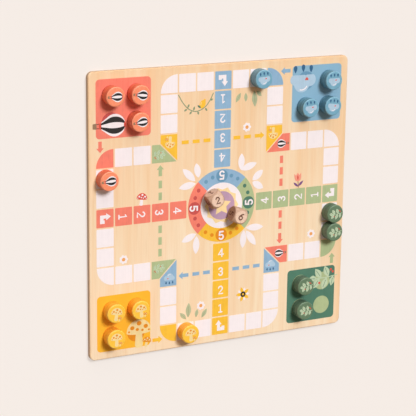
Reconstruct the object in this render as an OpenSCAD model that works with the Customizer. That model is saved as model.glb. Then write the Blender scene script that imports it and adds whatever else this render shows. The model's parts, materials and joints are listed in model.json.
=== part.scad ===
// Race-game board: a square plywood plate printed with a cross of cells, four bases and a
// ring in the middle, with sixteen turned pawns and two number dice standing on it.
// The board lies flat with its printed face up. The origin is the centre of its underside.

/* [Board] */
// Side of the square board
board_w = 300; // [280:1:340]
// Thickness of the plywood
board_t = 6; // [4:0.5:12]
// Radius of the board's corners, seen from above
board_corner_r = 6; // [3:0.5:10]
// Radius that eases the board's edges
board_ease_r = 1; // [0.5:0.1:1.5]
// Thickness of the ink, thicker than real ink so that each colour is a solid
ink_t = 0.1; // [0.05:0.05:0.3]
// Bare margin between the board's edge and the printing
print_margin = 8; // [5:0.5:12]

/* [Track] */
// Bare wood between neighbouring cells
cell_gap = 1.6; // [1:0.1:2.5]
// Radius of a cell's corners
cell_corner_r = 0.8; // [0.4:0.1:2]
// Bare wood along the slanting cut between the two halves of a corner block
split_gap = 1.2; // [0.6:0.1:2]

/* [Bases] */
// Bare wood between a base and the track beside it
base_gap = 11; // [6:0.5:14]
// Radius of a base's corners
base_corner_r = 4; // [2:0.5:8]
// Distance from a base's edge to the rim of a pawn's spot
spot_inset = 6.3; // [4:0.1:8]

/* [Arrows and dashes] */
// Length of a dash of the flight line
dash_l = 8; // [5:0.5:9]
// Distance from one dash to the next
dash_pitch = 12.5; // [11:0.5:13]
// Width of a dash and of an arrow's shaft
dash_w = 3.8; // [2:0.1:5]
// Bare wood between a corner block and the first dash
dash_start_gap = 5; // [3:0.5:6]
// Bare wood between the numbered cells and the dash after them
dash_cross_gap = 3.4; // [2:0.2:5]
// Bare wood between the tip of a flight arrow and its block
flight_tip_gap = 2.5; // [1.5:0.5:4]
// Length of an arrow
arrow_l = 11.5; // [9:0.5:12]
// Width of an arrow's head
arrow_head_w = 8; // [5:0.5:10]
// Length of an arrow's head
arrow_head_l = 4.6; // [3:0.2:6]
// Bare wood between a base and the tail of its exit arrow
exit_tail_gap = 2.5; // [1.5:0.5:4]
// Distance of an exit arrow outside the middle line of the outer cells
exit_rise = 5; // [3:0.5:6]

/* [Ring] */
// Outer radius of the four-coloured ring
ring_r = 39.2; // [34:0.2:44]
// Radius of the white field inside the ring
ring_in_r = 24.5; // [21:0.5:27]
// Bare wood between the ring and the innermost numbered cells
ring_gap = 1.9; // [1:0.1:4]
// Margin between the rims of the ring and of its number disc
number_disc_margin = 0.6; // [0.4:0.1:2]
// Radius of the ring's small dots
ring_dot_r = 2.1; // [1.2:0.1:2.6]
// Distance of the dots outside the ring's middle line
ring_dot_rise = 1; // [0:0.2:2]
// Margin between the white field's rim and the tips of the sunburst
burst_margin = 4.5; // [3:0.5:6]
// Depth of the sunburst's teeth
burst_depth = 3; // [2:0.2:4]
// Margin between the teeth and the purple disc
purple_margin = 1.7; // [1:0.1:3]
// Margin between the purple disc's rim and the tips of the star
star_margin = 3.9; // [2:0.1:5]
// Radius of the star's body, where its points meet
star_waist_r = 6; // [4:0.2:7]

/* [Petals] */
// Bare wood between the ring and the foot of a petal
petal_gap = 2.4; // [1.5:0.1:4]
// Length of a common petal
petal_l = 17; // [14:0.5:20]
// Width of a petal
petal_w = 7.5; // [5:0.5:9]

/* [Pawns] */
// Height of a pawn
pawn_h = 12.9; // [9:0.1:18]
// Room between two pawns on neighbouring cells
pawn_room = 0.5; // [0.4:0.1:2]
// Radius that rounds a pawn's rims
pawn_round_r = 1.2; // [0.6:0.1:2]

/* [Dice] */
// Width of a die between opposite faces
die_w = 16; // [12:0.5:18]
// Extra diameter of the ball that rounds a die, over the die's width
die_ball_extra = 5.4; // [4:0.2:7]

/* [Hidden] */
$fn = 64;

// Sides of the board, counted anticlockwise from the side at +Y
sides = [0 : 3];
pawn_names = ["blue", "red", "yellow", "green"];
pawns_each = [0 : 3];
// The four corners of a square, as signs of X and Y
corner_signs = [[1, 1], [-1, 1], [-1, -1], [1, -1]];

// Numbered cells and arrow cell of one side, and cells from the middle to an arm
home_n = 5;
arm_n = 3;

// Track, measured from the middle of the board
print_edge = board_w / 2 - print_margin;
cell_pitch = (print_edge - ring_r - ring_gap + cell_gap) / home_n;
cell_w = cell_pitch - cell_gap;
outer_row = print_edge - cell_w / 2;
arm_line = arm_n * cell_pitch;
arm_edge = arm_line + cell_w / 2;
flight_line = outer_row - arm_n * cell_pitch;
face_z = board_t + ink_t;

// Corner blocks, where a flight line starts and ends
block_in = arm_line - cell_w / 2;
block_out = outer_row - (arm_n - 1) * cell_pitch - cell_w / 2 - cell_gap;
split_shift = split_gap / sqrt(2);

// Pawns and their spots
pawn_r = (cell_pitch - pawn_room) / 2;
spot_r = pawn_r;
base_w = print_edge - arm_edge - base_gap;
base_line = print_edge - base_w / 2;
spot_line = base_w / 2 - spot_inset - spot_r;
// Spots that hold a side's first three pawns, and steps along the track of those that left
pawn_spots = [[1, 1], [-1, -1], [1, -1]];
last_step = 2;
second_runner_step = 1;
second_runner_side = 3;

// Dashes before and after the numbered cells
dashes_before = 3;
dashes_after = 2;

// Ring and middle
ring_mid_r = (ring_r + ring_in_r) / 2;
number_disc_r = (ring_r - ring_in_r) / 2 - number_disc_margin;
ring_dot_angles = [-34.5, -19.5, 19.5, 34.5];
burst_n = 10;
burst_turn = -2.5;
burst_r = ring_in_r - burst_margin;
burst_valley_r = burst_r - burst_depth;
purple_r = burst_valley_r - purple_margin;
star_n = 5;
star_turn = 90;
star_r = purple_r - star_margin;

// Petals: angle of the foot round the ring, its gap against a common one, direction, and
// length against a common petal's
petals = [
    [137, 1.42, 136, 1.19], [130, 1.31, 101, 0.92], [139, 0.5, -170, 1.16],
    [58, 1.34, 88, 1.04], [58, 1.37, 18, 1.15], [33, 1.72, 39, 0.93],
    [31, 1.32, -31, 0.89], [-137, 0.56, -157, 1.06], [-134, 1.09, -92, 1.14],
    [-43, 0.51, -2, 1.22], [-46, 1.45, -55, 1.23], [-48, 0.5, -94, 1.14]
];

// Dice as they were thrown: place and turn
die_places = [[-12.8, 10.2], [15, -10.2]];
die_turns = [30, -22];

// Colours of the wood and the inks
wood_colour = "#f3cfa2";
die_colour = "#d9b08c";
white_ink = "#fbf3ef";
side_inks = ["#8fb3cd", "#f77f6b", "#fdbd36", "#a9c08c"];
deep_inks = ["#5f96b8", "#d9575a", "#ea8a1c", "#3f7f63"];
pawn_paints = ["#74b3c0", "#fb8357", "#fbbd31", "#4f8065"];
burst_ink = "#ffd983";
purple_ink = "#b897c0";

function pawn_node(side, n) = str(pawn_names[side], "_pawn_", n + 1);

// Place of a pawn on the side at +Y: a spot of the base, or a step along the outer row
function pawn_place(side, n) =
    n == len(pawn_spots) ? [last_step * cell_pitch, outer_row]
    : side == second_runner_side && n == 0 ? [second_runner_step * cell_pitch, outer_row]
    : [base_line, base_line] + spot_line * pawn_spots[n];

function star_points(n, tip_r, valley_r, turn) = [
    for (i = [0 : 2 * n - 1])
        let (r = i % 2 == 0 ? tip_r : valley_r, a = turn + i * 180 / n)
        [r * cos(a), r * sin(a)]
];

// A square with rounded corners, centred
module rounded_square(w, r) {
    square([w, w - 2 * r], center = true);
    square([w - 2 * r, w], center = true);
    for (s = corner_signs)
        translate((w / 2 - r) * s)
            circle(r);
}

// Half of a plate's edge profile: flat in the middle and eased at the rim
module eased_profile(w, h, r) {
    square([w - r, h]);
    translate([0, r])
        square([w, h - 2 * r]);
    for (z = [r, h - r])
        translate([w - r, z])
            circle(r);
}

// A colour area of the print, as a film on the board's face
module film() {
    translate([0, 0, board_t])
        linear_extrude(ink_t)
            children();
}

module on_side(side) {
    rotate(90 * side)
        children();
}

module cell() {
    rounded_square(cell_w, cell_corner_r);
}

// A cell at the end of an arm, a quarter disc with its round side outwards
module end_cell() {
    translate(-cell_w / 2 * [1, 1])
        intersection() {
            circle(cell_w);
            square(cell_w);
        }
}

// An arrow along +X with its tip at the origin
module arrow() {
    polygon([
        [0, 0],
        [-arrow_head_l, arrow_head_w / 2],
        [-arrow_head_l, dash_w / 2],
        [-arrow_l, dash_w / 2],
        [-arrow_l, -dash_w / 2],
        [-arrow_head_l, -dash_w / 2],
        [-arrow_head_l, -arrow_head_w / 2]
    ]);
}

// A pointed petal along +X, where two circles overlap
module petal(l) {
    r = (l * l + petal_w * petal_w) / (4 * petal_w);
    intersection_for (s = [-1, 1])
        translate([l / 2, s * (r - petal_w / 2)])
            circle(r);
}

// Four spots of the base beside the side at +Y
module base_spots() {
    for (s = corner_signs)
        translate([base_line, base_line] + spot_line * s)
            circle(spot_r);
}

module base_field() {
    difference() {
        translate([base_line, base_line])
            rounded_square(base_w, base_corner_r);
        base_spots();
    }
}

// Number disc and dots of one quarter of the ring
module ring_marks() {
    translate([0, ring_mid_r])
        circle(number_disc_r);
    for (a = ring_dot_angles)
        rotate(a)
            translate([0, ring_mid_r + ring_dot_rise])
                circle(ring_dot_r);
}

module ring_quarter() {
    wedge = 2 * ring_r;
    difference() {
        intersection() {
            circle(ring_r);
            polygon([[0, 0], [wedge, wedge], [-wedge, wedge]]);
        }
        circle(ring_in_r);
        ring_marks();
    }
}

// White cells of the side at +Y: its outer row and its two arms
module side_cells() {
    for (i = [1 - arm_n : arm_n - 1])
        if (i != 0)
            translate([i * cell_pitch, outer_row])
                cell();
    for (s = [-1, 1], i = [1 : arm_n - 1])
        translate([s * arm_line, outer_row - i * cell_pitch])
            cell();
    translate([-arm_line, outer_row])
        mirror([1, 0])
            end_cell();
}

// Coloured cells of the side at +Y: arrow cell, numbered cells, start cell and exit arrow
module side_home() {
    for (i = [0 : home_n - 1])
        translate([0, outer_row - i * cell_pitch])
            cell();
    translate([arm_line, outer_row])
        end_cell();
    translate([base_line - base_w / 2 - exit_tail_gap - arrow_l, outer_row + exit_rise])
        rotate(180)
            arrow();
    ring_quarter();
}

// Flight line across the side at +Y, from one corner block to the other
module side_flight() {
    for (s = [-1, 1])
        polygon([
            [s * block_in, block_in + split_shift],
            [s * arm_edge, arm_edge + split_shift],
            [s * arm_edge, block_out],
            [s * block_in, block_out]
        ]);
    for (i = [0 : dashes_before - 1])
        translate([i * dash_pitch + dash_start_gap - block_in, flight_line - dash_w / 2])
            square([dash_l, dash_w]);
    for (i = [0 : dashes_after - 1])
        translate([cell_w / 2 + dash_cross_gap + i * dash_pitch, flight_line - dash_w / 2])
            square([dash_l, dash_w]);
    translate([block_in - flight_tip_gap, flight_line])
        arrow();
}

// All of one side's own colour: its home cells, and the flight line of the opposite side
module side_colour(side) {
    on_side(side)
        side_home();
    on_side(side + 2)
        side_flight();
}

module board() {
    straight = board_w - 2 * board_corner_r;
    corner = straight / 2;
    color(wood_colour) {
        for (a = [0, 90])
            rotate(a)
                translate([0, straight / 2, 0])
                    rotate([90, 0, 0])
                        linear_extrude(straight)
                            for (m = [0, 1])
                                mirror([m, 0])
                                    eased_profile(board_w / 2, board_t, board_ease_r);
        for (s = corner_signs)
            translate(corner * s)
                rotate_extrude()
                    eased_profile(board_corner_r, board_t, board_ease_r);
    }
}

module white_cells_print() {
    color(white_ink)
        film()
            for (side = sides)
                on_side(side)
                    side_cells();
}

module petal_print() {
    color(white_ink)
        film()
            for (p = petals)
                rotate(p[0])
                    translate([ring_r + p[1] * petal_gap, 0])
                        rotate(p[2] - p[0])
                            petal(p[3] * petal_l);
}

module blue_print() {
    color(side_inks[0])
        film() {
            side_colour(0);
            base_field();
        }
}

module red_print() {
    color(side_inks[1])
        film() {
            side_colour(1);
            on_side(1)
                base_field();
        }
}

module yellow_print() {
    color(side_inks[2])
        film() {
            side_colour(2);
            on_side(2)
                base_field();
        }
}

module light_green_print() {
    color(side_inks[3])
        film() {
            side_colour(3);
            on_side(3)
                base_spots();
        }
}

module dark_blue_print() {
    color(deep_inks[0])
        film() {
            base_spots();
            ring_marks();
        }
}

module dark_red_print() {
    color(deep_inks[1])
        film()
            on_side(1) {
                base_spots();
                ring_marks();
            }
}

module orange_print() {
    color(deep_inks[2])
        film()
            on_side(2) {
                base_spots();
                ring_marks();
            }
}

module dark_green_print() {
    color(deep_inks[3])
        film()
            on_side(3) {
                base_field();
                ring_marks();
            }
}

module sunburst_outline() {
    polygon(star_points(burst_n, burst_r, burst_valley_r, burst_turn));
}

module star_outline() {
    polygon(star_points(star_n, star_r, star_waist_r, star_turn));
}

module centre_white_print() {
    color(white_ink)
        film()
            difference() {
                circle(ring_in_r);
                sunburst_outline();
            }
}

module sunburst_print() {
    color(burst_ink)
        film()
            difference() {
                sunburst_outline();
                circle(purple_r);
            }
}

module purple_print() {
    color(purple_ink)
        film()
            difference() {
                circle(purple_r);
                star_outline();
            }
}

module star_print() {
    color(burst_ink)
        film()
            star_outline();
}

module pawn(side, n) {
    color(pawn_paints[side])
        on_side(side)
            translate(pawn_place(side, n))
                translate([0, 0, face_z])
                    rotate_extrude()
                        eased_profile(pawn_r, pawn_h, pawn_round_r);
}

module die(n) {
    color(die_colour)
        translate(die_places[n])
            translate([0, 0, face_z + die_w / 2])
                rotate(die_turns[n])
                    intersection() {
                        cube(die_w, center = true);
                        sphere(d = die_w + die_ball_extra);
                    }
}

board();
white_cells_print();
petal_print();
red_print();
dark_red_print();
blue_print();
dark_blue_print();
yellow_print();
orange_print();
light_green_print();
dark_green_print();
centre_white_print();
sunburst_print();
purple_print();
star_print();
for (side = sides, n = pawns_each)
    pawn(side, n);
die(0);  // die_1
die(1);  // die_2
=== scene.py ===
# Race-game board of printed plywood, with sixteen painted pawns and two number dice on it.
import json
import math

import bmesh
import bpy
from mathutils import Matrix, Vector

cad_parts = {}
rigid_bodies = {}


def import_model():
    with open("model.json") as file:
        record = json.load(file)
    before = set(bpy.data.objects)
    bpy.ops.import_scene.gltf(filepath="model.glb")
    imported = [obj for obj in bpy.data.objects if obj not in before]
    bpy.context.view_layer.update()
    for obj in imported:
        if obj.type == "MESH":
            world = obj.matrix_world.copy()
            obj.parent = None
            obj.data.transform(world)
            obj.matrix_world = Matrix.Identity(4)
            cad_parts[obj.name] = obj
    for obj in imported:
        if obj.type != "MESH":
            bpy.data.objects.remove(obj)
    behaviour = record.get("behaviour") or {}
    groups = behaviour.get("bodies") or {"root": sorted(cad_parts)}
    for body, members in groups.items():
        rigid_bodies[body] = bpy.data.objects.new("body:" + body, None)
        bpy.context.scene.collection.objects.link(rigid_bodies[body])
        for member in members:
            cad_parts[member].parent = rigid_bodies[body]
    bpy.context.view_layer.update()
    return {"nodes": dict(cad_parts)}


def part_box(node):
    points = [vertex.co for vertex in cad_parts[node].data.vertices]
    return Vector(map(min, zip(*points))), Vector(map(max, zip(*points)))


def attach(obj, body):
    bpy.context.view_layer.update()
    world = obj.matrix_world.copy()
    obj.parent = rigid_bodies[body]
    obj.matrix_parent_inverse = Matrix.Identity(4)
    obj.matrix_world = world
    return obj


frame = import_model()
nodes = frame["nodes"]


# Board
# A 300 mm square of three-ply basswood with round corners, its edges sanded and the whole
# lacquered matt. The face grain runs along Y, and the middle ply shows in the edges.
MM = 0.001
board_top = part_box("board")[1]
BOARD_HALF = board_top[0] / MM
BOARD_T = board_top[2] / MM
MIDDLE_PLY = 2.6
SANDED_RIM = 1.1


def linear(hex_colour):
    # An sRGB hex colour as linear red, green, blue and alpha
    channels = [int(hex_colour[i:i + 2], 16) / 255 for i in (1, 3, 5)]
    return [c / 12.92 if c <= 0.04045 else ((c + 0.055) / 1.055) ** 2.4 for c in channels] + [1]


def add_node(tree, kind, inputs, output=None, **settings):
    # A shader node with its settings; each input is a value, or an output to link to it
    made = tree.nodes.new("ShaderNode" + kind)
    for name, value in settings.items():
        setattr(made, name, value)
    for name, value in inputs.items():
        socket = next(s for s in made.inputs if s.identifier == name)
        if isinstance(value, bpy.types.NodeSocket):
            tree.links.new(value, socket)
        else:
            socket.default_value = value
    return made.outputs[output] if output else next(s for s in made.outputs if s.enabled)


def new_material(name, **constants):
    # An empty procedural material: its node tree, its shader and its Object coordinates
    made = bpy.data.materials.new(name)
    made.use_nodes = True
    shader = made.node_tree.nodes["Principled BSDF"]
    for socket, value in constants.items():
        shader.inputs[socket.replace("_", " ")].default_value = value
    place = add_node(made.node_tree, "TexCoord", {}, "Object")
    return made, made.node_tree, shader, place


def dress(tree, shader, colour, gloss, relief):
    # Links a finish's colour, roughness and bump to its shader
    tree.links.new(colour, shader.inputs["Base Color"])
    tree.links.new(gloss, shader.inputs["Roughness"])
    tree.links.new(relief, shader.inputs["Normal"])


def per_mm(x, y, z):
    # Scale of a pattern whose features are x, y and z mm long
    return [1 / (size * MM) for size in (x, y, z)]


# Basswood under matt lacquer: pale and even, with broad warm streaks and hair-fine fibres.
# The face is made warmer towards +Y and along the +X edge. Fibres are drawn 1.1 mm wide, coarser
# than real ones, so that they show.
plywood, tree, shader, place = new_material("Lacquered basswood plywood", IOR=1.5)
broad = add_node(tree, "Mapping", {"Vector": place, "Scale": per_mm(11, 200, 11)})
streaks = add_node(tree, "TexNoise", {"Vector": broad, "Scale": 1, "Detail": 3, "Distortion": 0.8})
spot = add_node(tree, "SeparateXYZ", {"Vector": place}, "X").node.outputs
warmth = add_node(tree, "MapRange", {"Value": spot["Y"], "From Min": -60 * MM, "From Max": BOARD_HALF * MM,
                                     "To Max": 0.3})
right = add_node(tree, "MapRange", {"Value": spot["X"], "From Min": 125 * MM, "From Max": BOARD_HALF * MM,
                                    "To Max": 0.25})
warmth = add_node(tree, "Math", {"Value": warmth, "Value_001": right}, operation="MAXIMUM")
streaks = add_node(tree, "Math", {"Value": streaks, "Value_001": warmth}, operation="ADD")
streaks = add_node(tree, "MapRange", {"Value": streaks, "From Min": 0.38, "From Max": 1.02})
fine = add_node(tree, "Mapping", {"Vector": place, "Scale": per_mm(1.1, 45, 1.1)})
fibres = add_node(tree, "TexNoise", {"Vector": fine, "Scale": 1, "Detail": 2})
fibre_tone = add_node(tree, "MapRange", {"Value": fibres, "From Min": 0.52, "From Max": 0.75,
                                         "To Max": 0.32})
face = add_node(tree, "Mix", {"Factor_Float": streaks, "A_Color": linear("#FADFBC"),
                              "B_Color": linear("#F4C592")}, data_type="RGBA")
face = add_node(tree, "Mix", {"Factor_Float": fibre_tone, "A_Color": face,
                              "B_Color": linear("#E8C08F")}, data_type="RGBA")

# Painted shade with wear: the sanded edges are made a little browner, partly a browner sanded tone and
# partly shade painted on, which damps their highlight and darkens the edge band
rim_wear_and_painted_light = add_node(tree, "VectorMath", {"Vector": place}, operation="ABSOLUTE")
rim_wear_and_painted_light = add_node(tree, "SeparateXYZ", {"Vector": rim_wear_and_painted_light}, "X").node.outputs
rim_wear_and_painted_light = add_node(tree, "Math", {"Value": rim_wear_and_painted_light["X"], "Value_001": rim_wear_and_painted_light["Y"]}, operation="MAXIMUM")
rim_wear_and_painted_light = add_node(tree, "MapRange", {"Value": rim_wear_and_painted_light, "From Min": (BOARD_HALF - SANDED_RIM) * MM,
                                  "From Max": (BOARD_HALF - 0.4) * MM, "To Max": 0.6})
face = add_node(tree, "Mix", {"Factor_Float": rim_wear_and_painted_light, "A_Color": face, "B_Color": linear("#E3B27F")},
                data_type="RGBA")
middle_ply = add_node(tree, "Math", {"Value": spot["Z"], "Value_001": BOARD_T / 2 * MM,
                                     "Value_002": MIDDLE_PLY / 2 * MM}, operation="COMPARE")
wood = add_node(tree, "Mix", {"Factor_Float": middle_ply, "A_Color": face,
                              "B_Color": linear("#BC9F86")}, data_type="RGBA")
gloss = add_node(tree, "MapRange", {"Value": fibres, "To Min": 0.5, "To Max": 0.62})
relief = add_node(tree, "Bump", {"Height": fibres, "Strength": 0.2, "Distance": 0.03 * MM})
dress(tree, shader, wood, gloss, relief)
nodes["board"].material_slots[0].material = plywood


# Printed cells, bases and ring
# Flat films of screen ink on the plywood: the white track, the four coloured sides and the
# sunburst in the middle. The ink is matt and thin, so the wood's fibres show through it.
BASES_FROM = 76


def screen_ink(name, hex_colour, shade=0.86, hex_base=None):
    # Matt ink: even colour, faintly darker along the fibres and mottled where it lies thin.
    # On a corner base, which is laid on in one large field, it may lie thicker and deeper.
    made, tree, shader, place = new_material(name + " screen ink", IOR=1.48)
    colour = linear(hex_colour)
    darker = [c * shade for c in colour[:3]] + [1]
    fine = add_node(tree, "Mapping", {"Vector": place, "Scale": per_mm(1.3, 38, 1.3)})
    fibres = add_node(tree, "TexNoise", {"Vector": fine, "Scale": 1, "Detail": 2})
    mottle = add_node(tree, "TexNoise", {"Vector": place, "Scale": 1 / (7 * MM), "Detail": 3})
    thin = add_node(tree, "Math", {"Value": fibres, "Value_001": mottle}, operation="MULTIPLY")
    thin = add_node(tree, "MapRange", {"Value": thin, "From Min": 0.14, "From Max": 0.5})
    ink = add_node(tree, "Mix", {"Factor_Float": thin, "A_Color": colour, "B_Color": darker},
                   data_type="RGBA")
    if hex_base:
        spot = add_node(tree, "VectorMath", {"Vector": place}, operation="ABSOLUTE")
        spot = add_node(tree, "SeparateXYZ", {"Vector": spot}, "X").node.outputs
        base = add_node(tree, "Math", {"Value": spot["X"], "Value_001": spot["Y"]}, operation="MINIMUM")
        base = add_node(tree, "MapRange", {"Value": base, "From Min": BASES_FROM * MM,
                                           "From Max": (BASES_FROM + 1) * MM, "To Max": 0.9})
        ink = add_node(tree, "Mix", {"Factor_Float": base, "A_Color": ink, "B_Color": linear(hex_base)},
                       data_type="RGBA")
    gloss = add_node(tree, "MapRange", {"Value": mottle, "To Min": 0.5, "To Max": 0.66})
    relief = add_node(tree, "Bump", {"Height": fibres, "Strength": 0.15, "Distance": 0.02 * MM})
    dress(tree, shader, ink, gloss, relief)
    return made


inks = {
    "white": screen_ink("White", "#FBEEED", 0.95),
    "red": screen_ink("Coral red", "#F9826B"),
    "dark red": screen_ink("Dark red", "#CD514B"),
    "blue": screen_ink("Sky blue", "#92B5D0", hex_base="#8AB3C9"),
    "dark blue": screen_ink("Steel blue", "#6B9AB7"),
    "yellow": screen_ink("Yellow", "#FFC334", hex_base="#FCB523"),
    "orange": screen_ink("Orange", "#EC8E08"),
    "light green": screen_ink("Light green", "#B4C08D"),
    "dark green": screen_ink("Dark green", "#507D66"),
    "pale yellow": screen_ink("Pale yellow", "#FFDDA0"),
    "purple": screen_ink("Purple", "#C19BB2"),
}
printed_nodes = {
    "white": ["white_cells_print", "petal_print", "centre_white_print"],
    "red": ["red_print"],
    "dark red": ["dark_red_print"],
    "blue": ["blue_print"],
    "dark blue": ["dark_blue_print"],
    "yellow": ["yellow_print"],
    "orange": ["orange_print"],
    "light green": ["light_green_print"],
    "dark green": ["dark_green_print"],
    "pale yellow": ["sunburst_print", "star_print"],
    "purple": ["purple_print"],
}
for colour, names in printed_nodes.items():
    for name in names:
        nodes[name].material_slots[0].material = inks[colour]


# Home numbers
# White numbers 1 to 5 on each side's run to the ring, printed over the coloured ink with a
# round-ended pen line. They stand upright for a player who sits at that side.
INK_FILM = 0.13
INK_STEP = 0.03
HOME_PEN = 1.35
RING_PEN = 1.6
NUMBER_SCALE = 1.1


def arc(x, y, r, start, end, n=10):
    # Points along part of a circle, from one angle to another
    angles = [math.radians(start + (end - start) * i / n) for i in range(n + 1)]
    return [(x + r * math.cos(a), y + r * math.sin(a)) for a in angles]


def stroke(path, w, cap=6):
    # Outline of a pen line of width w along a path, with round ends
    steps = [Vector(b) - Vector(a) for a, b in zip(path, path[1:])]
    sides = [Vector((-s.y, s.x)).normalized() for s in steps]
    left, right = [], []
    for i, point in enumerate(path):
        mid = sides[max(i - 1, 0)] + sides[min(i, len(sides) - 1)]
        mitre = mid * w / max(mid.length_squared, 1.5)
        left.append(Vector(point) + mitre)
        right.append(Vector(point) - mitre)
    turns = [Matrix.Rotation(math.pi * k / cap, 2) for k in range(1, cap)]
    far = [Vector(path[-1]) - turn @ sides[-1] * w / 2 for turn in turns]
    near = [Vector(path[0]) + turn @ sides[0] * w / 2 for turn in turns]
    return [tuple(p) for p in right + far + left[::-1] + near]


def moved(outline, x, y, turn=0, scale=1):
    # An outline scaled, turned by degrees and then shifted
    c, s = math.cos(math.radians(turn)) * scale, math.sin(math.radians(turn)) * scale
    return [(x + c * u - s * v, y + s * u + c * v) for u, v in outline]


def print_flat(name, films):
    # One mesh of flat ink films; each film has an ink, a layer and an outline in mm, and a
    # higher layer stands a little over the lower ones
    bpy.ops.object.select_all(action="DESELECT")
    palette = list(dict.fromkeys(ink for ink, layer, outline in films))
    made = None
    for ink, layer, outline in films:
        bpy.ops.mesh.primitive_circle_add(vertices=len(outline), fill_type="NGON", enter_editmode=True)
        if made is None:
            made = bpy.context.object
            made.name = made.data.name = name
            for used in palette:
                made.data.materials.append(inks[used])
        shape = bmesh.from_edit_mesh(made.data)
        for corner, (x, y) in zip([v for v in shape.verts if v.select], outline):
            corner.co = (x * MM, y * MM, 0)
        bmesh.update_edit_mesh(made.data)
        top = (INK_FILM + INK_STEP * layer) * MM
        bpy.ops.mesh.extrude_region_move(TRANSFORM_OT_translate={"value": (0, 0, top)})
        bpy.ops.mesh.select_linked()
        made.active_material_index = palette.index(ink)
        bpy.ops.object.material_slot_assign()
    bpy.ops.mesh.select_all(action="SELECT")
    bpy.ops.mesh.normals_make_consistent(inside=False)
    bpy.ops.object.mode_set(mode="OBJECT")
    return made


def lay(made, place, body):
    # Puts a finished piece in its place, with the place in its mesh, and on its body
    bpy.ops.object.select_all(action="DESELECT")
    made.select_set(True)
    bpy.context.view_layer.objects.active = made
    made.matrix_world = place
    bpy.ops.object.transform_apply()
    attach(made, body)


on_board = Matrix.Translation((0, 0, BOARD_T * MM))

pen_lines = {
    1: [[(-1.2, 2.8), (0.3, 3.8), (0.3, -3.7)], [(-1.4, -3.7), (1.9, -3.7)]],
    2: [arc(0, 1.6, 2.1, 165, -38) + [(-2.1, -3.7), (2.3, -3.7)]],
    3: [arc(-0.2, 1.85, 1.85, 162, -95), arc(-0.1, -1.8, 1.95, 95, -162)],
    4: [[(1.0, 3.7), (-2.6, -1.6), (2.7, -1.6)], [(1.0, 3.2), (1.0, -3.7)]],
    5: [[(1.9, 3.7), (-1.5, 3.7), (-1.8, 0.4)] + arc(0, -1.5, 2.2, 115, -150)],
    6: [[(1.5, 3.6), (-0.4, 2.3), (-1.7, 0.4), (-2.1, -1.3)],
        arc(0, -1.5, 2.2, 0, 180), arc(0, -1.5, 2.2, 180, 360)],
}


def number(n, pen):
    # Outlines of a number about 8 mm tall, centred
    return [stroke(path, pen) for path in pen_lines[n]]


# Distance of each number from the middle of the board, and its pen
number_places = {1: (113.2, HOME_PEN), 2: (92.7, HOME_PEN), 3: (72.2, HOME_PEN), 4: (51.6, HOME_PEN),
                 5: (32.6, RING_PEN)}
films = []
for side in range(4):
    for n, (y, pen) in number_places.items():
        for i, outline in enumerate(number(n, pen)):
            upright = moved(outline, 0, y, 180, NUMBER_SCALE)
            films.append(("white", i % 2, moved(upright, 0, 0, 90 * side)))
lay(print_flat("home_numbers", films), on_board, "board")


# Turn arrows
# A bent white arrow in the first coloured cell of each side, printed over its ink. It shows
# where a pawn that has been round the board turns in towards the ring.
bent_arrow = [
    (1.7, 126.2), (5.4, 131.2), (3.45, 131.2), (3.45, 138.0), (-5.4, 138.0), (-5.4, 133.0),
    (-1.9, 133.0), (-1.9, 134.2), (-0.05, 134.2), (-0.05, 131.2), (-2.0, 131.2),
]
films = [("white", 0, moved(bent_arrow, 0, 0, 90 * side)) for side in range(4)]
lay(print_flat("turn_arrows", films), on_board, "board")


# Flowers and leaves
# Small ornaments printed on the bare wood: four white daisies with an orange eye, and green
# leaves that hang from the top row of cells and grow from the bottom one.
DAISY_R = 5.0
DAISY_EYE = 3.8


def oval(x, y, w, h, turn=0, n=28):
    # Outline of an oval of width w and height h
    return moved([(w / 2 * u, h / 2 * v) for u, v in arc(0, 0, 1, 0, 360, n)[:-1]], x, y, turn)


def leaf(foot, tip, w, n=9):
    # Outline of a leaf with a pointed foot and tip, w wide in the middle
    along = Vector(tip) - Vector(foot)
    across = Vector((along.y, -along.x)).normalized() * w / 2
    bow = [(i / n, math.sin(math.pi * i / n)) for i in range(n)]
    edge = bow + [(1 - t, -b) for t, b in bow]
    return [tuple(Vector(foot) + along * t + across * b) for t, b in edge]


def leaf_rib(foot, tip, start, end, pen):
    # Outline of a leaf's middle rib, between two shares of its length
    return stroke([tuple(Vector(foot).lerp(Vector(tip), share)) for share in (start, end)], pen)


def scallop(x, y, r, depth, petals):
    # Outline of a flower whose petals are round scallops
    points = arc(0, 0, 1, 0, 360, petals * 8)[:-1]
    waves = [r - depth * (0.5 - 0.5 * math.cos(math.tau * i / 8)) for i in range(len(points))]
    return [(x + w * u, y + w * v) for w, (u, v) in zip(waves, points)]


inks["leaf green"] = screen_ink("Leaf green", "#BBBF96")
inks["rib green"] = screen_ink("Rib green", "#9CA97F")
inks["apricot"] = screen_ink("Apricot", "#F4A65C")
daisies = [(28.6, 81.2), (-112.2, -45.6), (-23.1, -106.9), (110.1, -43.1)]
films = []
for x, y in daisies:
    films.append(("white", 0, scallop(x, y, DAISY_R, 1.0, 7)))
    films.append(("apricot", 1, oval(x, y, DAISY_EYE, DAISY_EYE)))
lay(print_flat("daisies", films), on_board, "board")

# Foot, tip and width of each leaf
leaves = [
    ((20.6, 118.0), (15.0, 108.2), 4.6), ((26.6, 117.6), (26.7, 108.2), 4.0),
    ((36.4, 119.4), (37.7, 102.0), 6.2), ((39.3, 118.8), (45.2, 113.0), 4.4),
    ((-40.0, -120.0), (-47.8, -111.8), 4.6), ((-38.1, -118.4), (-37.3, -102.0), 6.2),
    ((-28.9, -119.2), (-27.2, -110.2), 4.0), ((-22.2, -120.4), (-15.9, -111.2), 4.6),
]
films = []
for foot, tip, w in leaves:
    films.append(("leaf green", 0, leaf(foot, tip, w)))
    films.append(("rib green", 1, leaf_rib(foot, tip, 0.1, 0.75, 0.4)))
lay(print_flat("leaves", films), on_board, "board")


# Garland
# A thin green branch that hangs in the upper left field, with small leaves along it and one
# ripe lemon, all printed on the bare wood.
LEMON = (-23.6, 109.2)


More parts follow.
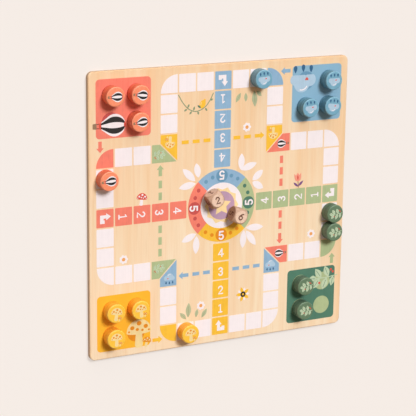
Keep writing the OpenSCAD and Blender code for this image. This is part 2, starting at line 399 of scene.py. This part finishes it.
def rounded(path):
    # A path with its corners cut twice, so that it runs in smooth bends
    for cut in range(2):
        bends = [path[0]]
        for (x0, y0), (x1, y1) in zip(path, path[1:]):
            bends.append((0.75 * x0 + 0.25 * x1, 0.75 * y0 + 0.25 * y1))
            bends.append((0.25 * x0 + 0.75 * x1, 0.25 * y0 + 0.75 * y1))
        path = bends + [path[-1]]
    return path


inks["cream"] = screen_ink("Cream", "#FBDC9A")
inks["moss green"] = screen_ink("Moss green", "#8C9C78")
branch = [(-51.0, 120.4), (-46.2, 112.0), (-39.4, 104.6), (-30.4, 101.4), (-20.4, 105.6),
          (-14.6, 113.2), (-11.4, 119.8)]
# Foot and tip of each small leaf
twigs = [
    ((-40.6, 106.4), (-38.8, 110.4)), ((-34.0, 103.2), (-32.6, 107.6)),
    ((-41.2, 105.4), (-44.6, 103.4)), ((-35.8, 102.8), (-38.4, 99.6)),
    ((-29.0, 102.2), (-28.0, 98.6)), ((-20.6, 105.2), (-18.2, 101.8)),
    ((-15.0, 112.6), (-11.6, 114.0)),
]
films = [("moss green", 0, stroke(rounded(branch), 0.9))]
for foot, tip in twigs:
    films.append(("moss green", 1, leaf(foot, tip, 2.0)))
films.append(("yellow", 1, oval(*LEMON, 6.6, 9.0, -28)))
films.append(("yellow", 2, leaf((-23.0, 109.6), (-20.6, 114.8), 3.2)))
films.append(("cream", 3, stroke(arc(*LEMON, 2.1, 130, 200), 0.8)))
films.append(("dark green", 2, leaf((-25.4, 105.4), (-29.4, 108.4), 2.0)))
lay(print_flat("garland", films), on_board, "board")


# Toadstool, tulip and sunflower
# Three small pictures printed on the bare wood between the runs of numbers: a red toadstool,
# a coral tulip on a brown stem and a sunflower with a black eye.
inks["black"] = screen_ink("Black", "#26211F", 0.7)
inks["accent red"] = screen_ink("Poppy red", "#E2523F")
inks["coral"] = screen_ink("Coral", "#FB9C83")
inks["plum"] = screen_ink("Plum", "#7B4B84")
inks["end_grain_and_corner_shade"] = screen_ink("Brown", "#9C7B5C")


def mushroom(cap, spots, stem):
    # Films of a mushroom about 28 mm wide and 32 mm tall, in three inks
    foot = [(3.4, 0), (4.6, -14), (3.2, -17), (-3.2, -17), (-4.6, -14), (-3.4, 0)]
    dome = [(14 * u, 14 * v) for u, v in arc(0, 0, 1, 0, 180, 20)]
    brim = [(14 * u, 2.4 * v) for u, v in arc(0, 0, 1, 180, 360, 12)[1:-1]]
    dots = [(-7.6, 5.2, 4.8), (0.2, 9.6, 5.4), (7.8, 5.6, 5.0), (-1.8, 3.0, 3.6), (4.0, 1.8, 2.8),
            (-11.2, 1.2, 2.4), (11.4, 1.4, 2.4)]
    drawn = [(stem, 0, foot), (cap, 1, dome + brim)]
    return drawn + [(spots, 2, oval(x, y, d, d * 0.9)) for x, y, d in dots]


TOADSTOOL = (-91.8, 16.4)
TOADSTOOL_TURN = -8
TOADSTOOL_SCALE = 0.42
films = [(ink, layer, moved(outline, *TOADSTOOL, TOADSTOOL_TURN, TOADSTOOL_SCALE))
         for ink, layer, outline in mushroom("accent red", "white", "white")]
lay(print_flat("toadstool", films), on_board, "board")

cup = [(0, -4.4), (3.0, -3.2), (4.0, 0), (4.2, 4.6), (2.2, 2.2), (0, 5.2), (-2.2, 2.2), (-4.2, 4.6),
       (-4.0, 0), (-3.0, -3.2)]
films = [
    ("end_grain_and_corner_shade", 0, stroke([(92.6, 10.4), (92.0, 18.0)], 0.9)),
    ("plum", 1, leaf((92.2, 11.6), (98.6, 17.4), 2.6)),
    ("plum", 1, leaf((92.4, 11.2), (86.6, 16.2), 2.4)),
    ("coral", 2, moved(cup, 91.8, 21.4, 4)),
    ("accent red", 3, leaf((91.9, 18.2), (91.6, 24.2), 1.8)),
]
lay(print_flat("tulip", films), on_board, "board")

SUNFLOWER = (27.4, -101.0)
SUNFLOWER_PETALS = 10
films = []
for i in range(SUNFLOWER_PETALS):
    reach = 8.4 if i % 2 else 7.6
    angle = 360 * i / SUNFLOWER_PETALS
    tip = arc(*SUNFLOWER, reach, angle, angle, 1)[0]
    films.append(("yellow" if i % 2 else "white", i % 2, leaf(SUNFLOWER, tip, 3.8)))
films.append(("black", 2, oval(*SUNFLOWER, 6.2, 6.2)))
films.append(("yellow", 3, oval(*SUNFLOWER, 2.4, 2.4)))
lay(print_flat("sunflower", films), on_board, "board")


# Base pictures
# Each base carries a printed picture that is its side's sign: a rain cloud on blue, a striped
# balloon on red, mushrooms on yellow and a sprig with berries on green.
BASE_SIGN = (95, 126)
inks["grey blue"] = screen_ink("Pale grey blue", "#B4CCDD")
inks["navy"] = screen_ink("Navy blue", "#2F6288")
inks["pale green"] = screen_ink("Pale green", "#C6D5B0")


def cloud(puffs, base):
    # Outline round overlapping puffs, each a place and a radius, with a flat base
    outline = []
    for u, v in arc(0, 0, 1, 0, 360, 60)[:-1]:
        reach = 0
        for x, y, r in puffs:
            along = x * u + y * v
            inside = r * r - x * x - y * y + along * along
            if inside > 0:
                reach = max(reach, along + math.sqrt(inside))
        outline.append((reach * u, max(reach * v, base)))
    return outline


def drop(x, y, w, h):
    # Outline of a drop with its point up
    angles = [math.tau * i / 20 for i in range(20)]
    return [(x - w / 2 * math.sin(a) * math.sin(a / 2), y + h / 2 * math.cos(a)) for a in angles]


def heart(x, y, w):
    # Outline of a heart
    outline = []
    for i in range(24):
        a = math.tau * i / 24
        v = 13 * math.cos(a) - 5 * math.cos(2 * a) - 2 * math.cos(3 * a) - math.cos(4 * a)
        outline.append((x - w / 2 * math.sin(a) ** 3, y + w / 32 * v))
    return outline


def gore(left, right):
    # One stripe of a balloon, between two shares of its half width
    edge = [(3.4, -10.5)] + arc(0, 4.5, 11.5, -35, 84, 10)
    return [(right * w, v) for w, v in edge] + [(left * w, v) for w, v in reversed(edge)]


rain_cloud = [
    ("grey blue", 0, cloud([(-8.5, -0.5, 7), (1.5, 3, 9.5), (9.5, -1, 6)], -6)),
    ("white", 1, stroke(arc(1.5, 3, 7, 75, 150), 1.2)),
    ("navy", 0, drop(-9.5, -12, 5.6, 8)),
    ("navy", 0, drop(0, -13, 5.6, 8)),
    ("navy", 0, drop(9.5, -12, 5.6, 8)),
    ("accent red", 1, heart(-4.5, -1.5, 4.2)),
]
balloon = [
    ("white", 0, gore(-1, 1)),
    ("black", 1, gore(-0.76, -0.26)),
    ("black", 1, gore(0.26, 0.76)),
    ("accent red", 2, oval(0, 15.6, 5, 2.4)),
    ("accent red", 1, [(3.6, -10.0), (-3.6, -10.0), (-2.7, -12.6), (2.7, -12.6)]),
    ("black", 0, stroke([(-2.3, -12.3), (-2.1, -15.6)], 0.6)),
    ("black", 0, stroke([(2.3, -12.3), (2.1, -15.6)], 0.6)),
    ("end_grain_and_corner_shade", 1, [(3.1, -15.2), (-3.1, -15.2), (-2.5, -19.4), (2.5, -19.4)]),
]
mushrooms = mushroom("cream", "orange", "cream")
for ink, layer, outline in mushroom("orange", "cream", "cream"):
    mushrooms.append((ink, layer + 1, moved(outline, 9.0, -11.5, -12, 0.36)))
sprig = [("pale green", 0, stroke(rounded([(1.4, -19), (0, -8), (-0.4, 2), (0, 10)]), 1.1))]
sprig_leaves = [
    ((-0.2, 7), (0.6, 16.8), 7), ((-0.3, 3), (-11, 11.5), 7.5), ((-0.2, 1), (11, 9), 7.5),
    ((0, -6), (-13.5, -0.5), 7.5), ((0.2, -8), (13, -3), 7.5), ((0.9, -14), (-10.5, -11.5), 6.5),
]
for foot, tip, w in sprig_leaves:
    sprig.append(("pale green", 1, leaf(foot, tip, w)))
    sprig.append(("dark green", 2, leaf_rib(foot, tip, 0.25, 0.8, 0.5)))
for x, y in [(5.6, -13.6), (8.2, -11.0), (-5.6, 3.4)]:
    sprig.append(("accent red", 2, oval(x, y, 2.8, 2.8)))

# Sides anticlockwise from +Y, and the picture of each
side_colours = ["blue", "red", "yellow", "green"]
drawings = {"blue": rain_cloud, "red": balloon, "yellow": mushrooms, "green": sprig}


def flat_place(x, y, z, turn=0, scale=1):
    # A place on a level face: shifted in mm, turned by degrees, its outline scaled
    return (Matrix.Translation((x * MM, y * MM, z * MM)) @ Matrix.Rotation(math.radians(turn), 4, "Z")
            @ Matrix.Diagonal((scale, scale, 1, 1)))


signs = {}
sign_places = {}
for side, colour in enumerate(side_colours):
    turned = Matrix.Rotation(math.radians(90 * side), 4, "Z")
    sign_places[colour] = turned @ flat_place(*BASE_SIGN, BOARD_T, 180)
    signs[colour] = print_flat(colour + "_base_sign", drawings[colour])
    lay(signs[colour], sign_places[colour], "board")


# Flight block signs
# The same signs, small, printed on the two blocks at the ends of each dotted flight line.
# Each line crosses the side opposite its own colour's.
BLOCK_ENDS = {"a": 60.2, "b": -60.2}
BLOCK_SIGN_Y = 71.8
BLOCK_SIGN_SCALE = 0.4


def copy_sign(colour, name, place, body):
    # A copy of a base's picture, with a mesh of its own, in another place
    bpy.ops.object.select_all(action="DESELECT")
    signs[colour].select_set(True)
    bpy.context.view_layer.objects.active = signs[colour]
    bpy.ops.object.duplicate()
    made = bpy.context.object
    made.name = made.data.name = name
    lay(made, place @ sign_places[colour].inverted(), body)


for side in range(4):
    colour = side_colours[(side + 2) % 4]
    turned = Matrix.Rotation(math.radians(90 * side), 4, "Z")
    for end, x in BLOCK_ENDS.items():
        on_block = turned @ flat_place(x, BLOCK_SIGN_Y, BOARD_T, 180, BLOCK_SIGN_SCALE)
        copy_sign(colour, colour + "_block_sign_" + end, on_block, "board")


# Pawns
# Sixteen beech discs, 20 mm wide and 13 mm high with a rounded top edge, sprayed in their
# side's colour. Each one has its side's sign printed on its top.
PAWN_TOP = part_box("blue_pawn_1")[1][2] / MM
PAWN_SIGN_SCALE = 0.45
SINK = 0.1


def pawn_paint(name, hex_colour, hex_side_paint_and_shade, hex_dark, hex_thin_paint_and_highlight):
    # Sprayed paint on turned beech: lathe lines round the side, end-grain pores on the top,
    # and a lighter worn tone where the paint lies thin. The sides take a darker tone than the top,
    # partly deeper paint and partly painted shade, and the ring at the top edge is lighter, partly
    # worn paint and partly a painted highlight. Lines are drawn 0.75 mm wide to show.
    made, tree, shader, place = new_material(name + " paint on turned beech", IOR=1.5)
    level = add_node(tree, "Mapping", {"Vector": place, "Scale": per_mm(24, 24, 0.75)})
    lines = add_node(tree, "TexNoise", {"Vector": level, "Scale": 1, "Detail": 2})
    line_tone = add_node(tree, "MapRange", {"Value": lines, "From Min": 0.45, "From Max": 0.56,
                                            "To Max": 0.8})
    height = add_node(tree, "SeparateXYZ", {"Vector": place}, "Z")
    # Painted shade with paint: the sides take a darker, deeper colour than the top, partly a deeper paint
    # and partly shade painted on
    side = add_node(tree, "MapRange", {"Value": height, "From Min": (PAWN_TOP - 0.4) * MM,
                                       "From Max": (PAWN_TOP - 1.0) * MM})
    line_tone = add_node(tree, "Math", {"Value": line_tone, "Value_001": side}, operation="MULTIPLY")
    speckle = add_node(tree, "TexNoise", {"Vector": place, "Scale": 1 / (2.6 * MM), "Detail": 4})
    thin = add_node(tree, "MapRange", {"Value": speckle, "From Min": 0.5, "From Max": 0.75, "To Max": 0.5})
    paint = add_node(tree, "Mix", {"Factor_Float": thin, "A_Color": linear(hex_colour),
                                   "B_Color": linear(hex_thin_paint_and_highlight)}, data_type="RGBA")
    paint = add_node(tree, "Mix", {"Factor_Float": side, "A_Color": paint, "B_Color": linear(hex_side_paint_and_shade)},
                     data_type="RGBA")
    paint = add_node(tree, "Mix", {"Factor_Float": line_tone, "A_Color": paint,
                                   "B_Color": linear(hex_dark)}, data_type="RGBA")
    # Painted highlight with wear: a lighter ring round the rounded top edge, partly paint worn thin there
    # and partly a highlight painted on
    rim_wear_and_painted_light = add_node(tree, "MapRange", {"Value": height, "From Min": (PAWN_TOP - 1.1) * MM,
                                      "From Max": (PAWN_TOP - 0.7) * MM, "To Max": 0.5})
    inner = add_node(tree, "MapRange", {"Value": height, "From Min": (PAWN_TOP - 0.03) * MM,
                                        "From Max": (PAWN_TOP - 0.2) * MM})
    rim_wear_and_painted_light = add_node(tree, "Math", {"Value": rim_wear_and_painted_light, "Value_001": inner}, operation="MULTIPLY")
    paint = add_node(tree, "Mix", {"Factor_Float": rim_wear_and_painted_light, "A_Color": paint, "B_Color": linear(hex_thin_paint_and_highlight)},
                     data_type="RGBA")
    gloss = add_node(tree, "MapRange", {"Value": speckle, "To Min": 0.38, "To Max": 0.55})
    relief = add_node(tree, "Bump", {"Height": lines, "Strength": 0.35, "Distance": 0.06 * MM})
    dress(tree, shader, paint, gloss, relief)
    return made


pawn_paints = {
    "blue": pawn_paint("Blue", "#74A7BD", "#6C9BB0", "#416976", "#90BCCB"),
    "red": pawn_paint("Red", "#FC8E66", "#EA7450", "#CF5B3E", "#FFA67E"),
    "yellow": pawn_paint("Yellow", "#FFC43C", "#FFB034", "#EB9822", "#FFD05C"),
    "green": pawn_paint("Green", "#647C5E", "#5C755E", "#3C5546", "#71896A"),
}
# Degrees that a side's pawns are turned, as hands have put them down
pawn_turns = [0, 6, -7, 4]
for side, colour in enumerate(side_colours):
    for n, pawn_turn in enumerate(pawn_turns):
        pawn = "%s_pawn_%d" % (colour, n + 1)
        nodes[pawn].material_slots[0].material = pawn_paints[colour]
        low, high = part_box(pawn)
        x, y = (low[0] + high[0]) / 2 / MM, (low[1] + high[1]) / 2 / MM
        on_pawn = flat_place(x, y, PAWN_TOP - SINK, 90 * side + 180 + pawn_turn, PAWN_SIGN_SCALE)
        copy_sign(colour, pawn + "_sign", on_pawn, pawn)


# Dice
# Two beech cubes of 16 mm, tumbled until their corners are ball-round, so that each face is
# a disc. The numbers are burnt in, and the bare wood shows its growth rings.
DIE_HALF = 8.0
DIE_BALL_R = 10.7
DIE_PEN = 1.5
DIE_NUMBER_SCALE = 0.9
RING_GAP = 3.0
# A wave texture at scale 1 has a ring every tau / 20
WAVE_UNIT = math.tau / 20

# Beech charred by a hot iron: matt and dark brown, paler where the iron only touched it
inks["burnt"], tree, shader, place = new_material("Burnt beech", IOR=1.5, Roughness=0.85)
soot = add_node(tree, "TexNoise", {"Vector": place, "Scale": 1 / (0.8 * MM), "Detail": 2})
char = add_node(tree, "Mix", {"Factor_Float": soot, "A_Color": linear("#4E2A1D"),
                              "B_Color": linear("#82523D")}, data_type="RGBA")
tree.links.new(char, shader.inputs["Base Color"])


def bare_beech(die, middle, turn):
    # Bare beech: growth rings about an axis that leans through the die, short dark pores, two
    # greyer faces of flat grain and two darker ones of end grain, their tones partly the grain's
    # and partly painted shade, and ball-round corners darkened with painted shade. Rings are drawn
    # 3 mm apart, coarser than real ones, so that they show.
    made, tree, shader, place = new_material("Bare beech of " + die, IOR=1.5)
    own = add_node(tree, "Mapping", {"Vector": place, "Location": middle, "Rotation": (0.35, 1.1, turn)},
                   vector_type="TEXTURE")
    rings = add_node(tree, "TexWave", {"Vector": own, "Scale": WAVE_UNIT / (RING_GAP * MM),
                                       "Distortion": 2.5, "Detail": 2, "Detail Scale": 1.5}, "Fac",
                     wave_type="RINGS", rings_direction="Z")
    rings = add_node(tree, "MapRange", {"Value": rings, "From Min": 0.55, "To Max": 0.5})
    pores = add_node(tree, "Mapping", {"Vector": own, "Scale": per_mm(0.6, 0.6, 3.5)})
    pores = add_node(tree, "TexNoise", {"Vector": pores, "Scale": 1, "Detail": 2})
    dark = add_node(tree, "MapRange", {"Value": pores, "From Min": 0.5, "From Max": 0.75, "To Max": 0.45})
    bare = add_node(tree, "Mix", {"Factor_Float": rings, "A_Color": linear("#F2CDB3"),
                                  "B_Color": linear("#D8AE92")}, data_type="RGBA")
    bare = add_node(tree, "Mix", {"Factor_Float": dark, "A_Color": bare, "B_Color": linear("#A87852")},
                    data_type="RGBA")
    across = add_node(tree, "Mapping", {"Vector": place, "Location": middle, "Rotation": (0, 0, turn)},
                      vector_type="TEXTURE")
    across = add_node(tree, "VectorMath", {"Vector": across}, operation="ABSOLUTE")
    across = add_node(tree, "SeparateXYZ", {"Vector": across}, "X").node.outputs
    near_face = {"From Min": (DIE_HALF - 1.4) * MM, "From Max": (DIE_HALF - 0.1) * MM}
    # Painted shade with grain: the side faces are made darker than the top, the flat-grain pair greyer and
    # the end-grain pair darker; this is partly the grain's own tone and partly shade painted on
    flat_grain_and_shade = add_node(tree, "MapRange", {"Value": across["Y"], **near_face, "To Max": 0.55})
    bare = add_node(tree, "Mix", {"Factor_Float": flat_grain_and_shade, "A_Color": bare,
                                  "B_Color": linear("#C09A80")}, data_type="RGBA")
    end_grain_and_shade = add_node(tree, "MapRange", {"Value": across["X"], **near_face, "To Max": 0.85})
    # Painted shade: the ball-round corners are browned, standing in for the shade where the faces turn
    # away
    reach = add_node(tree, "VectorMath", {"Vector": own}, "Value", operation="LENGTH")
    corner_shade = add_node(tree, "MapRange", {"Value": reach, "From Min": (DIE_BALL_R - 0.3) * MM,
                                          "From Max": (DIE_BALL_R - 0.05) * MM, "To Max": 0.4})
    end_grain_and_corner_shade = add_node(tree, "Math", {"Value": end_grain_and_shade, "Value_001": corner_shade}, operation="MAXIMUM")
    bare = add_node(tree, "Mix", {"Factor_Float": end_grain_and_corner_shade, "A_Color": bare, "B_Color": linear("#8F6148")},
                    data_type="RGBA")
    gloss = add_node(tree, "MapRange", {"Value": pores, "To Min": 0.55, "To Max": 0.75})
    relief = add_node(tree, "Bump", {"Height": pores, "Strength": 0.3, "Distance": 0.05 * MM})
    dress(tree, shader, bare, gloss, relief)
    return made


# How each die was thrown: its turn, the spin of its top number, and its numbers; opposite
# faces add up to seven
dice = {
    "die_1": {"turn": 30, "spin": -18, "top": 2, "bottom": 5, "sides": {0: 4, 90: 1, 180: 3, 270: 6}},
    "die_2": {"turn": -22, "spin": -8, "top": 6, "bottom": 1, "sides": {0: 2, 90: 3, 180: 5, 270: 4}},
}
for die, thrown in dice.items():
    low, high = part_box(die)
    middle = (Vector(low) + Vector(high)) / 2
    turn = math.radians(thrown["turn"])
    nodes[die].material_slots[0].material = bare_beech(die, middle, turn)

    # The six burnt numbers, each sunk in its face and then joined to one piece
    about = Matrix.Translation(middle) @ Matrix.Rotation(turn, 4, "Z")
    lift = Matrix.Translation((0, 0, (DIE_HALF - SINK) * MM))
    faces = [(thrown["top"], thrown["spin"], Matrix.Identity(4)),
             (thrown["bottom"], 0, Matrix.Rotation(math.pi, 4, "X"))]
    for angle, n in thrown["sides"].items():
        upright = Matrix.Rotation(math.radians(angle + 90), 4, "Z") @ Matrix.Rotation(math.pi / 2, 4, "X")
        faces.append((n, 0, upright))
    burnt = []
    for n, spin, flip in faces:
        films = [("burnt", i % 2, moved(outline, 0, 0, spin, DIE_NUMBER_SCALE))
                 for i, outline in enumerate(number(n, DIE_PEN))]
        made = print_flat("%s_number_%d" % (die, n), films)
        made.matrix_world = about @ flip @ lift
        bpy.ops.object.transform_apply()
        burnt.append(made)
    for made in burnt:
        made.select_set(True)
    bpy.context.view_layer.objects.active = burnt[0]
    bpy.ops.object.join()
    burnt[0].name = burnt[0].data.name = die + "_numbers"
    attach(burnt[0], die)


# Floor
# A sheet of pale warm paper under the board. Only the camera and reflections see its full
# tone, so that it throws little light back up on the object.
FLOOR_W = 8
GLOW_SHARE = 0.66
PAPER_SEEN = linear("#F5ECE5")
PAPER_LIT = linear("#C9C0B9")
bpy.ops.object.select_all(action="DESELECT")
bpy.ops.mesh.primitive_plane_add(size=FLOOR_W, location=(0, 0, 0))
floor = bpy.context.object
floor.name = "floor"
paper, tree, shader, place = new_material("Pale paper backdrop", Roughness=0.9)
seen = add_node(tree, "LightPath", {}, "Is Camera Ray")
for kind in ("Is Glossy Ray", "Is Transmission Ray"):
    other = add_node(tree, "LightPath", {}, kind)
    seen = add_node(tree, "Math", {"Value": seen, "Value_001": other}, operation="MAXIMUM")
paper_tone = add_node(tree, "Mix", {"Factor_Float": seen, "A_Color": PAPER_LIT, "B_Color": PAPER_SEEN},
                      data_type="RGBA")
tree.links.new(paper_tone, shader.inputs["Base Color"])
glow = add_node(tree, "Emission", {"Color": PAPER_SEEN, "Strength": 1.0})
share = add_node(tree, "Math", {"Value": seen, "Value_001": GLOW_SHARE}, operation="MULTIPLY")
both = add_node(tree, "MixShader", {"Fac": share, "Shader": shader.outputs["BSDF"], "Shader_001": glow})
tree.links.new(both, tree.nodes["Material Output"].inputs["Surface"])
floor.data.materials.append(paper)


# Studio light
# One soft, far light high behind the board's upper edge, a low one that reaches the pawns'
# sides from there, a weak one from the lower left, and an even warm surround.
SURROUND = 0.235
scene = bpy.context.scene
scene.view_settings.view_transform = "Standard"
# Name, place, width in degrees, strength and colour of each lamp
lamps = [
    ("key_light", (0.45, 1.63, 2.71), 18, 2.76, "#F3F9FF"),
    ("edge_light", (0.00, 2.60, 0.95), 50, 0.92, "#FFFFFF"),
    ("fill_light", (-2.40, -1.10, 0.85), 60, 0.24, "#FFF6EC"),
]
for name, location, width, strength, hex_colour in lamps:
    bpy.ops.object.light_add(type="SUN", location=location)
    lamp = bpy.context.object
    lamp.name = name
    lamp.data.angle = math.radians(width)
    lamp.data.energy = strength
    lamp.data.color = linear(hex_colour)[:3]
    lamp.rotation_euler = (-lamp.location).to_track_quat("-Z", "Y").to_euler()
scene.world = bpy.data.worlds.new("Studio surround")
scene.world.use_nodes = True
surround = scene.world.node_tree.nodes["Background"]
surround.inputs["Color"].default_value = linear("#FFE8D2")
surround.inputs["Strength"].default_value = SURROUND


# Camera
# A long lens that looks down on the printed face from beyond its -X and +Y edges. It is
# rolled so that +Y is up in the picture, as if the board stood on its -Y edge.
CAMERA_PLACE = (-0.71317, 0.38507, 1.36569)
CAMERA_AIM = (-0.01592, -0.00120, 0.006)
CAMERA_ROLL = 116.2345
CAMERA_LENS = 130.733
SENSOR_W = 36
bpy.ops.object.camera_add(location=CAMERA_PLACE)
camera = bpy.context.object
gaze = Vector(CAMERA_AIM) - camera.location
camera.rotation_euler = gaze.to_track_quat("-Z", "Y").to_euler()
camera.rotation_euler.rotate_axis("Z", math.radians(CAMERA_ROLL))
camera.data.lens = CAMERA_LENS
camera.data.sensor_width = SENSOR_W
camera.data.sensor_fit = "HORIZONTAL"
scene.camera = camera
